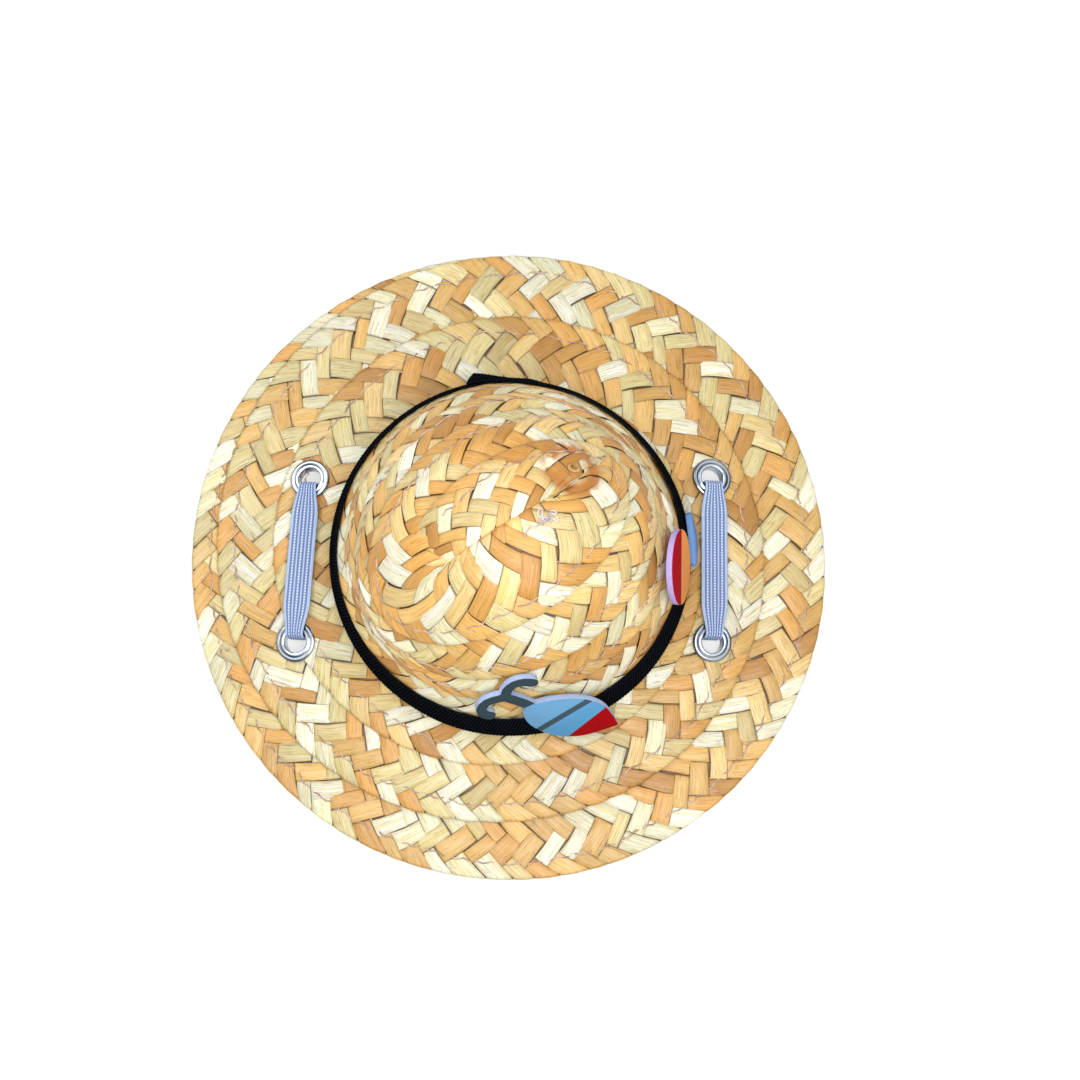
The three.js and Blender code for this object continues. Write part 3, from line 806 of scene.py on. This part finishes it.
def make_eyelet(node, material):
    """The section turned about the eyelet's axis."""
    origin, axis = eyelet_frame(node)
    side = unit(np.cross(axis, [0, 1, 0]))
    other = np.cross(axis, side)
    angle = (2 * np.pi * np.arange(EYELET_STEPS) / EYELET_STEPS)[:, None, None]
    spoke = np.cos(angle) * side + np.sin(angle) * other
    radius, height = EYELET_SECTION[None, :, 0, None], EYELET_SECTION[None, :, 1, None]
    points = (origin + radius * spoke + height * axis).reshape(-1, 3)
    quads = tube_quads(EYELET_STEPS, len(EYELET_SECTION), closed=True)
    piece = add_mesh(node.replace("eyelet", "nickel_eyelet"), points, quads, (), material)
    # the painted shade is stronger on two opposite sides of each eyelet, turned with the eyelet's place
    # round the hat
    uneven = 0.72 + 0.28 * np.cos(angle[..., 0] * 2 + np.arctan2(origin[1], origin[0]))
    put_attribute(piece.data, "groove", "FLOAT", "POINT", EYELET_PAINTED_SHADE * uneven)
    fix_sides(piece)
    return piece


# ---------------------------------------------------------------- elastic

ELASTIC_WIDTH, ELASTIC_IN_HOLE, ELASTIC_TAPER = 7.7, 5.0, 9.5
ELASTIC_ABOVE, ELASTIC_BELOW, ELASTIC_BEND, LEG_INSET = 2.4, 3.7, 1.3, 1.3
ELASTIC_FACE = 0.97  # the share of the half width that the ridged face takes
ELASTIC_STEPS = 240
DOT_SPACING = 0.8
RIDGES = 7


def elastic_route(half):
    """The elastic's middle line as (along, up, out along, out up): a rectangle with round corners,
    as long as the way between the eyelets, above the brim on one side and below it on the other."""
    corner = np.array([(half, ELASTIC_ABOVE, 0), (-half, ELASTIC_ABOVE, 90),
                       (-half, -ELASTIC_BELOW, 180), (half, -ELASTIC_BELOW, 270)])
    inset = corner[:, :2] - np.sign(corner[:, :2]) * ELASTIC_BEND
    turn = np.radians(corner[:, 2][:, None] + np.linspace(0, 90, 13))
    out = np.stack([np.cos(turn), np.sin(turn)], axis=-1)
    line = (inset[:, None] + ELASTIC_BEND * out).reshape(-1, 2)
    out = out.reshape(-1, 2)
    line, out = np.vstack([line, line[:1]]), np.vstack([out, out[:1]])
    reach = length_along(line)
    at = np.linspace(0, reach[-1], ELASTIC_STEPS + 1)[:-1]
    return [np.interp(at, reach, c) for c in (*line.T, *out.T)], at


def make_elastic(side, material):
    """A flat strap round that route: its section has seven ridges on the outer face, is flat on the
    inner one, and narrows and thickens where it goes through the eyelets."""
    (back, _), (front, _) = (eyelet_frame(f"eyelet_{side}_{end}") for end in ("back", "front"))
    middle = (back + front) / 2
    along = unit(back - front)
    up = brim_up(np.arctan2(middle[1], middle[0]))
    up = unit(up - (up @ along) * along)
    across = np.cross(along, up)
    half = np.linalg.norm(back - front) / 2 - LEG_INSET
    (x, y, out_x, out_y), reach = elastic_route(half)
    gather = smoothstep((np.abs(x) - half + ELASTIC_TAPER) / ELASTIC_TAPER)
    width = lerp(ELASTIC_WIDTH, ELASTIC_IN_HOLE, gather)[:, None]
    face = np.linspace(-ELASTIC_FACE, ELASTIC_FACE, 6 * RIDGES + 1)
    back_face = np.linspace(ELASTIC_FACE, -ELASTIC_FACE, 7)
    q = np.r_[-1, face, 1, back_face][None, :]
    ridge = 0.5 + 0.5 * np.cos(np.pi * RIDGES * (face / ELASTIC_FACE + 1) + np.pi)
    ridge = np.maximum(ridge, smoothstep((np.abs(face) - 0.86) / 0.1))
    rounding = 1 - np.abs(face) ** 10
    fold = 1 + 0.35 * gather[:, None]
    top = (0.26 + 0.2 * ridge * fold) * lerp(0.35, 1, rounding)
    flat = np.zeros((len(x), 1))
    bottom = np.full((len(x), len(back_face)), -0.42)
    thick = np.hstack([flat, top, flat, bottom])
    off = thick[..., None] * (out_x[:, None, None] * along + out_y[:, None, None] * up)
    sideways = (q * width / 2)[..., None] * across
    centre = middle + x[:, None] * along + y[:, None] * up
    points = (centre[:, None] + off + sideways).reshape(-1, 3)
    ring = q.shape[1]
    strap = add_mesh(f"elastic_loop_{side}", points, tube_quads(len(x), ring, closed=True), (), material)
    all_ridges = np.r_[0.4, ridge, 0.4, np.full(len(back_face), 0.4)]
    place = np.r_[-1, face, 1, back_face * 0] / ELASTIC_FACE
    number = np.floor((place + 1) / 2 * RIDGES).astype(int)
    dotted = all_ridges**3 * np.isin(number, (1, 3, 5)) * (np.arange(ring) <= len(face))
    # the ridges' shape, which the finish also uses for painted shade in the valleys
    put_attribute(strap.data, "ridge", "FLOAT", "POINT", np.tile(all_ridges, len(x)))
    put_attribute(strap.data, "dotted", "FLOAT", "POINT", np.tile(dotted, len(x)))
    weave = np.stack([(q * width / 2), np.broadcast_to(reach[:, None], (len(x), ring))], axis=-1)
    put_uv(strap.data, "weave", weave.reshape(-1, 2))
    fix_sides(strap)
    return strap


# ---------------------------------------------------------------- lures

# how each flat sheet of foam faces: the azimuth and upward lean of its face, its roll, its middle
PLUG_FACING = (-76, 30, -33, (15.94, -46.93, 25.32))
FLOAT_FACING = (-4, 17.9, 0, (45.69, -6.8, 33.42))
# the bent one: the height of its middle, and how far its face is off the wall
MINNOW_Z, MINNOW_OUT = 14.3, 3.0
SOFT_EDGE, SHEET_WELD = 0.00025, 2e-6  # in metres


def on_flat_sheet(points, azimuth, lean, roll, at):
    """Each point's place on a flat sheet: along it, across it, and out from its printed face."""
    azimuth, lean, roll = np.radians([azimuth, lean, roll])
    out = np.array([np.cos(lean) * np.cos(azimuth), np.cos(lean) * np.sin(azimuth), np.sin(lean)])
    level = np.array([-np.sin(azimuth), np.cos(azimuth), 0])
    rise = np.cross(out, level)
    axes = [level * np.cos(roll) + rise * np.sin(roll), rise * np.cos(roll) - level * np.sin(roll), out]
    return (points - at) @ np.array(axes).T


def on_bent_sheet(points):
    """The same on the sheet that follows the wall round."""
    up = points[:, 2] - MINNOW_Z
    from_wall = np.hypot(points[:, 0], points[:, 1]) - FOOT_RADIUS
    from_wall = (from_wall + np.tan(CROWN_LEAN) * (points[:, 2] - FOOT_Z)) * np.cos(CROWN_LEAN)
    return np.column_stack([points[:, 1], up, from_wall - MINNOW_OUT])


def join_triangles(shape):
    """Joins a cut sheet's loose triangles, and makes one face of those that lie flat together."""
    bmesh.ops.remove_doubles(shape, verts=shape.verts, dist=SHEET_WELD)
    bmesh.ops.dissolve_limit(shape, angle_limit=np.radians(1), verts=shape.verts, edges=shape.edges)


def make_lure(node, material, facing=None):
    """A copy of the cut sheet with its edges softened, and each point's place on the sheet."""
    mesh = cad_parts[node].data.copy()
    lure = link(bpy.data.objects.new(node.replace("lure", "foam"), mesh))
    mesh.materials.clear()
    mesh.materials.append(material)
    edit_mesh(mesh, join_triangles)
    points = np.array([v.co for v in mesh.vertices]) / MM
    sheet = on_flat_sheet(points, *facing) if facing else on_bent_sheet(points)
    put_attribute(mesh, "sheet", "FLOAT_VECTOR", "POINT", sheet)
    mesh.shade_smooth()
    bevel = lure.modifiers.new("soft_edge", "BEVEL")
    bevel.width = SOFT_EDGE
    bevel.segments = 2
    bevel.limit_method = "ANGLE"
    bevel.angle_limit = np.radians(50)
    bevel.harden_normals = True
    return lure


# ---------------------------------------------------------------- finishes

class Finish:
    """A node material being put together."""

    def __init__(self, name):
        self.material = bpy.data.materials.new(name)
        self.material.use_nodes = True
        self.tree = self.material.node_tree
        self.shader = self.tree.nodes["Principled BSDF"]

    def node(self, kind, inputs=None, **settings):
        """A node with its settings, and its inputs by name or number: a value, or a socket."""
        made = self.tree.nodes.new(kind)
        for key, value in settings.items():
            setattr(made, key, value)
        for key, value in (inputs or {}).items():
            self.feed(made.inputs[key], value)
        return made

    def feed(self, socket, value):
        if isinstance(value, bpy.types.NodeSocket):
            self.tree.links.new(value, socket)
        elif isinstance(socket.default_value, float):
            socket.default_value = float(value)
        else:
            value = list(value)
            if socket.type == "RGBA" and len(value) == 3:
                value.append(1)
            socket.default_value = value

    def set(self, **values):
        for key, value in values.items():
            self.feed(self.shader.inputs[key.replace("_", " ")], value)

    def math(self, operation, a, b=0.0):
        return self.node("ShaderNodeMath", {0: a, 1: b}, operation=operation).outputs[0]

    def fade(self, value, low, high, to_low=0.0, to_high=1.0):
        """A smooth rise from to_low at low to to_high at high."""
        inputs = {0: value, 1: low, 2: high, 3: to_low, 4: to_high}
        made = self.node("ShaderNodeMapRange", inputs, interpolation_type="SMOOTHSTEP")
        return made.outputs[0]

    def blend(self, share, a, b, kind="MIX"):
        made = self.node("ShaderNodeMix", data_type="RGBA", blend_type=kind)
        for socket, value in ((0, share), (6, a), (7, b)):
            self.feed(made.inputs[socket], value)
        return made.outputs[2]

    def shaded(self, share, colour, by):
        """A colour that is multiplied by another where the share is 1."""
        return self.blend(share, colour, self.blend(1.0, colour, by, "MULTIPLY"))

    def parts(self, vector):
        """The three parts of a vector, as sockets."""
        return self.node("ShaderNodeSeparateXYZ", {0: vector}).outputs

    def distance(self, point):
        """How far each place on the piece is from a point, in metres."""
        inputs = {0: self.place(), 1: point * MM}
        return self.node("ShaderNodeVectorMath", inputs, operation="DISTANCE").outputs["Value"]

    def scaled(self, vector, scale):
        made = self.node("ShaderNodeMapping", {"Vector": vector, "Scale": scale})
        return made.outputs[0]

    def noise(self, vector, scale=1.0, detail=2.0, roughness=0.5):
        inputs = {"Vector": vector, "Scale": scale, "Detail": detail, "Roughness": roughness}
        return self.node("ShaderNodeTexNoise", inputs).outputs[0]

    def uv(self, name):
        return self.node("ShaderNodeUVMap", uv_map=name).outputs[0]

    def attribute(self, name, output="Fac"):
        return self.node("ShaderNodeAttribute", attribute_name=name).outputs[output]

    def place(self):
        return self.node("ShaderNodeTexCoord").outputs["Object"]

    def bump(self, height, distance, strength=1.0):
        inputs = {"Height": height, "Distance": distance, "Strength": strength}
        self.feed(self.shader.inputs["Normal"], self.node("ShaderNodeBump", inputs).outputs[0])


def straw_finish():
    """Split straw: each straw's own colour, fine lengthwise fibres and splits, a silky gloss, brown
    stains round the plait's start,
    and painted shade: a thin dark line where it meets the next straw or dips under another, and a little
    darkening towards its edges."""
    f = Finish("split_straw")
    strand = f.uv("strand")
    fibre = f.noise(f.scaled(strand, (5.5, 0.22, 1)), 1, 3, 0.6)
    streak = f.noise(f.scaled(strand, (1.3, 0.06, 1)), 1, 2)
    split = f.math("ABSOLUTE", f.math("SUBTRACT", f.noise(f.scaled(strand, (1.6, 0.05, 1))), 0.5))
    blotch = f.noise(f.place(), 140, 3, 0.6)
    across = f.math("ABSOLUTE", f.parts(strand)[0])
    tone = f.attribute("tone", "Color")
    warm = f.shaded(f.fade(streak, 0.35, 0.7), tone, (0.95, 0.86, 0.6))
    fine = f.shaded(f.fade(fibre, 0.42, 0.78), warm, (0.62, 0.46, 0.26))
    from_start = f.distance(START_KNOT)
    ring = f.math("MULTIPLY", f.fade(from_start, 0.0035, 0.006, 0.35, 1),
                  f.fade(from_start, 0.0065, 0.0105, 1, 0))
    stain = f.math("MULTIPLY", ring, f.fade(blotch, 0.36, 0.54))
    stain = f.math("MAXIMUM", stain, f.fade(blotch, 0.62, 0.8, 0, 0.4))
    stained = f.blend(stain, fine, (0.5, 0.19, 0.03))
    # painted shade: a thin dark line along each straw's edges, where it meets the next straw
    edge = f.fade(across, STRAW_WIDTH * 0.465, STRAW_WIDTH * 0.496, 0, 0.9)
    # painted shade where a straw dips under the one that crosses it
    dip = f.fade(f.attribute("exposed"), -0.3, 0.4, 0.92, 0)
    crack = f.fade(split, 0.0, 0.011, 0.6, 0)
    # painted shade: a slight darkening towards each straw's edges, as on a rounded straw
    rounded = f.fade(across, STRAW_WIDTH * 0.22, STRAW_WIDTH * 0.5, 0, 0.16)
    # the real splits, together with the painted shade above
    dark = f.math("MAXIMUM", f.math("MAXIMUM", edge, dip), f.math("MAXIMUM", crack, rounded))
    f.set(Base_Color=f.blend(dark, stained, (0.1, 0.042, 0.01)))
    f.set(Roughness=f.fade(streak, 0.2, 0.8, 0.22, 0.45), Specular_IOR_Level=0.7)
    f.bump(fibre, 0.00011, 0.9)
    return f.material


def thread_finish(name, dark, light):
    """Thin sewing thread, a little uneven between two colours."""
    f = Finish(name)
    fleck = f.fade(f.noise(f.place(), 420, 2), 0.35, 0.65)
    f.set(Base_Color=f.blend(fleck, dark, light), Roughness=0.5)
    return f.material


def curl_finish():
    """The brown straw of the plait's first end, darkest at its eye."""
    f = Finish("curled_straw")
    past_eye = f.fade(f.distance(START_KNOT), 0.0004, 0.0016)
    brown = f.blend(past_eye, (0.05, 0.02, 0.008), (0.6, 0.32, 0.09))
    grain = f.noise(f.place(), 700, 3)
    f.set(Base_Color=f.blend(f.fade(grain, 0.45, 0.7, 0, 0.6), brown, (0.74, 0.5, 0.22)), Roughness=0.5)
    return f.material


def grosgrain_finish():
    """Black grosgrain with fine threads, and painted light: a painted bluish highlight on its ribs and
    painted shade, deep black, between them.
    """
    f = Finish("black_grosgrain")
    threads = f.noise(f.scaled(f.uv("weave"), (14, 2, 1)), 1, 2)
    # painted highlight on each rib and painted shade, deep black, between the ribs; the ribbon is given
    # no gloss
    rib = f.fade(f.attribute("rib"), 0.1, 0.9)
    black = f.blend(rib, (0.0005, 0.0005, 0.0006), (0.009, 0.0105, 0.015))
    f.set(Base_Color=f.blend(f.fade(threads, 0.45, 0.8, 0, 0.6), black, (0.014, 0.016, 0.022)))
    f.set(Roughness=0.8, Specular_IOR_Level=0.0)
    f.bump(threads, 0.00005, 0.7)
    return f.material


def nickel_finish():
    """Bright nickel plate, faintly rubbed, with dark blue-grey painted shade and painted reflections in
    its hole, its hollows and round its rim.
    """
    f = Finish("nickel_plate")
    rub = f.noise(f.place(), 900, 2)
    # painted shade and painted reflections where the section is marked dark
    f.set(Base_Color=f.blend(f.attribute("groove"), (0.8, 0.86, 0.93), (0.012, 0.035, 0.08)))
    f.set(Metallic=1, Roughness=f.fade(rub, 0.3, 0.7, 0.12, 0.2))
    return f.material


def elastic_finish():
    """Braided elastic: seven pale ridges, three of them picked out in white dots, with painted shade:
    violet-blue in the valleys between the ridges and between the dots."""
    f = Finish("braided_elastic")
    along = f.parts(f.uv("weave"))[1]
    ridge = f.attribute("ridge")
    dots = f.math("SINE", f.math("MULTIPLY", along, 2 * np.pi / DOT_SPACING))
    dotted = f.math("MULTIPLY", f.attribute("dotted"), f.fade(dots, -0.5, 0.4))
    # painted shade: the valleys between the ridges are painted violet-blue
    cloth = f.blend(f.fade(ridge, 0.3, 0.95), (0.14, 0.195, 0.42), (0.48, 0.6, 0.82))
    lint = f.noise(f.scaled(f.uv("weave"), (4, 9, 1)), 1, 2)
    cloth = f.blend(f.fade(lint, 0.45, 0.8, 0, 0.3), cloth, (0.62, 0.72, 0.9))
    # painted shade between the raised dots
    between = f.math("MULTIPLY", f.attribute("dotted"), f.fade(dots, -0.5, 0.4, 0.7, 0))
    cloth = f.blend(between, cloth, (0.16, 0.21, 0.42))
    f.set(Base_Color=f.blend(dotted, cloth, (0.84, 0.92, 1)), Roughness=0.8, Specular_IOR_Level=0.3)
    f.bump(f.math("ADD", dots, lint), 0.00006, 0.8)
    return f.material


class FoamFinish(Finish):
    """Printed foam sheet: flat print on the face, with its grain, and pale lavender cut sides."""

    def __init__(self, name, side_colour):
        super().__init__(name)
        self.sheet = self.attribute("sheet", "Vector")
        self.side_colour = side_colour

    def beyond(self, point, towards, softness=0.06):
        """1 on the side of a straight line through a point that a direction points to, else 0."""
        way = unit(np.array([*towards, 0.0]))
        reach = self.node("ShaderNodeVectorMath", {0: self.sheet, 1: way}, operation="DOT_PRODUCT")
        past = self.math("SUBTRACT", reach.outputs["Value"], float(way[:2] @ np.array(point)))
        return self.fade(past, -softness, softness)

    def print_face(self, print_colour):
        """Puts the print on the face and the bare foam on the sides and back."""
        grain = self.noise(self.place(), 1300, 3, 0.7)
        cells = self.noise(self.place(), 2200, 2, 0.6)
        depth = self.parts(self.sheet)[2]
        printed = self.shaded(self.fade(grain, 0.4, 0.8, 0, 0.2), print_colour, (0.66, 0.7, 0.74))
        side = self.shaded(self.fade(cells, 0.4, 0.7), self.side_colour, (0.84, 0.8, 0.88))
        self.set(Base_Color=self.blend(self.fade(depth, -0.34, -0.24), side, printed))
        self.set(Roughness=0.8, Specular_IOR_Level=0.08)
        self.bump(self.math("ADD", grain, cells), 0.00012, 0.9)
        return self.material


def plug_finish():
    """A blue body with a slate stripe and a red nose, and a slate hook."""
    f = FoamFinish("plug_print", linear("A9BADE"))
    back_half = f.beyond((-2, 0), (0.873, -0.488), 3)
    blue = f.blend(back_half, linear("6FA4CE"), linear("5C9CCA"))
    stripe = f.math("MULTIPLY", f.beyond((0.5, 8.4), (0.873, -0.488)),
                    f.beyond((3.04, 8.48), (-0.873, 0.488)))
    body = f.blend(stripe, blue, linear("415461"))
    body = f.blend(f.beyond((7.85, 6.5), (0.949, -0.315)), body, linear("A20208"))
    hook = f.beyond((-13.3, 3.5), (-0.771, 0.637))
    return f.print_face(f.blend(hook, body, linear("34464D")))


def float_finish():
    """A red upper half over an orange lower half."""
    f = FoamFinish("float_print", linear("B9A6DC"))
    return f.print_face(f.blend(f.beyond((0, 0.5), (-0.227, 0.974)), linear("EA9A55"), linear("A80012")))


def minnow_finish():
    """Blue, a little paler towards its upper edge."""
    f = FoamFinish("minnow_print", linear("7AA6DC"))
    return f.print_face(f.blend(f.beyond((0, 0), (0, 1), 3), linear("6485C8"), linear("7C9FDE")))


# ---------------------------------------------------------------- setting

def floor_finish():
    """A pale sheet that glows a little itself, so that shadows on it stay pale."""
    f = Finish("lit_white_floor")
    f.set(Base_Color=(0.4, 0.4, 0.4), Roughness=0.9, Emission_Color=(0.97, 1, 1), Emission_Strength=0.6)
    return f.material


def make_sky():
    """A soft white dome, bright overhead and darker towards the horizon."""
    world = bpy.data.worlds.new("studio")
    bpy.context.scene.world = world
    world.use_nodes = True
    tree = world.node_tree
    place = tree.nodes.new("ShaderNodeTexCoord")
    parts = tree.nodes.new("ShaderNodeSeparateXYZ")
    rise = tree.nodes.new("ShaderNodeMapRange")
    rise.interpolation_type = "SMOOTHSTEP"
    for number, value in enumerate((0.1, 0.75, 0.12, 0.85), 1):
        rise.inputs[number].default_value = value
    tree.links.new(place.outputs["Generated"], parts.inputs[0])
    tree.links.new(parts.outputs[2], rise.inputs[0])
    tree.links.new(rise.outputs[0], tree.nodes["Background"].inputs[1])
    tree.nodes["Background"].inputs[0].default_value = (0.96, 0.98, 1, 1)


def make_studio():
    """A white floor, a soft sky and two soft lamps."""
    floor = add_mesh("floor", [(-4000, -4000, 0), (4000, -4000, 0), (4000, 4000, 0), (-4000, 4000, 0)],
                     np.array([[0, 1, 2, 3]]), (), floor_finish())
    make_sky()
    lamps = [
        ("key", (0.05, -0.1, 0.34), 0.24, 0.76, (1, 0.98, 0.93)),
        ("fill", (-0.3, 0.25, 0.45), 0.4, 1.0, (0.96, 0.98, 1)),
    ]
    for name, place, size, watts, colour in lamps:
        data = bpy.data.lights.new(name, "AREA")
        data.size = size
        data.energy = watts
        data.color = colour
        lamp = link(bpy.data.objects.new(name, data))
        lamp.location = place
        lamp.rotation_euler = (-Vector(place)).to_track_quat("-Z", "Y").to_euler()
    bpy.context.scene.view_settings.view_transform = "Standard"


# ---------------------------------------------------------------- assembly

def hand_in(piece, slot, *nodes):
    """Attaches a finished piece to the root body, and hides the solids that it stands for; its slot is
    not used.
    """
    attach(piece, "root")
    if nodes:
        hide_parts(*nodes)


make_camera()
make_studio()
straw = straw_finish()
thread = thread_finish("sewing_thread", (0.4, 0.26, 0.2), (0.68, 0.52, 0.42))
loose_thread = thread_finish("loose_thread", (0.58, 0.48, 0.5), (0.84, 0.76, 0.78))
SPLIT_TURN = 4.0  # behind the band, where the crown's plait hands over to the brim's
split_run = np.interp(SPLIT_TURN, TURNS, RUN)
# the crown's straws are painted brighter than the brim's (1.16 against 1.02): painted light for the more
# brightly lit crown
hand_in(make_plait("crown_plait", -1e3, split_run, 1.16, straw), "straw_crown", "crown")
hand_in(make_plait("brim_plait", split_run, 1e5, 1.02, straw), "straw_brim", "brim")
hand_in(make_stitching("crown_stitching", -0.05, SPLIT_TURN, thread), "straw_crown")
hand_in(make_stitching("brim_stitching", SPLIT_TURN, LAST_TURN - 0.02, thread), "straw_brim")
hand_in(make_tangle(loose_thread), "straw_crown")
hand_in(make_start_curl(curl_finish()), "straw_crown")
hand_in(make_band(grosgrain_finish()), "ribbon", "hat_band")
nickel = nickel_finish()
for node in EYELETS:
    hand_in(make_eyelet(node, nickel), "eyelet_metal", node)
elastic_cloth = elastic_finish()
for side in ("left", "right"):
    hand_in(make_elastic(side, elastic_cloth), "elastic", f"elastic_{side}")
hand_in(make_lure("plug_lure", plug_finish(), PLUG_FACING), "foam_plug", "plug_lure")
hand_in(make_lure("float_lure", float_finish(), FLOAT_FACING), "foam_float", "float_lure")
hand_in(make_lure("minnow_lure", minnow_finish()), "foam_minnow", "minnow_lure")
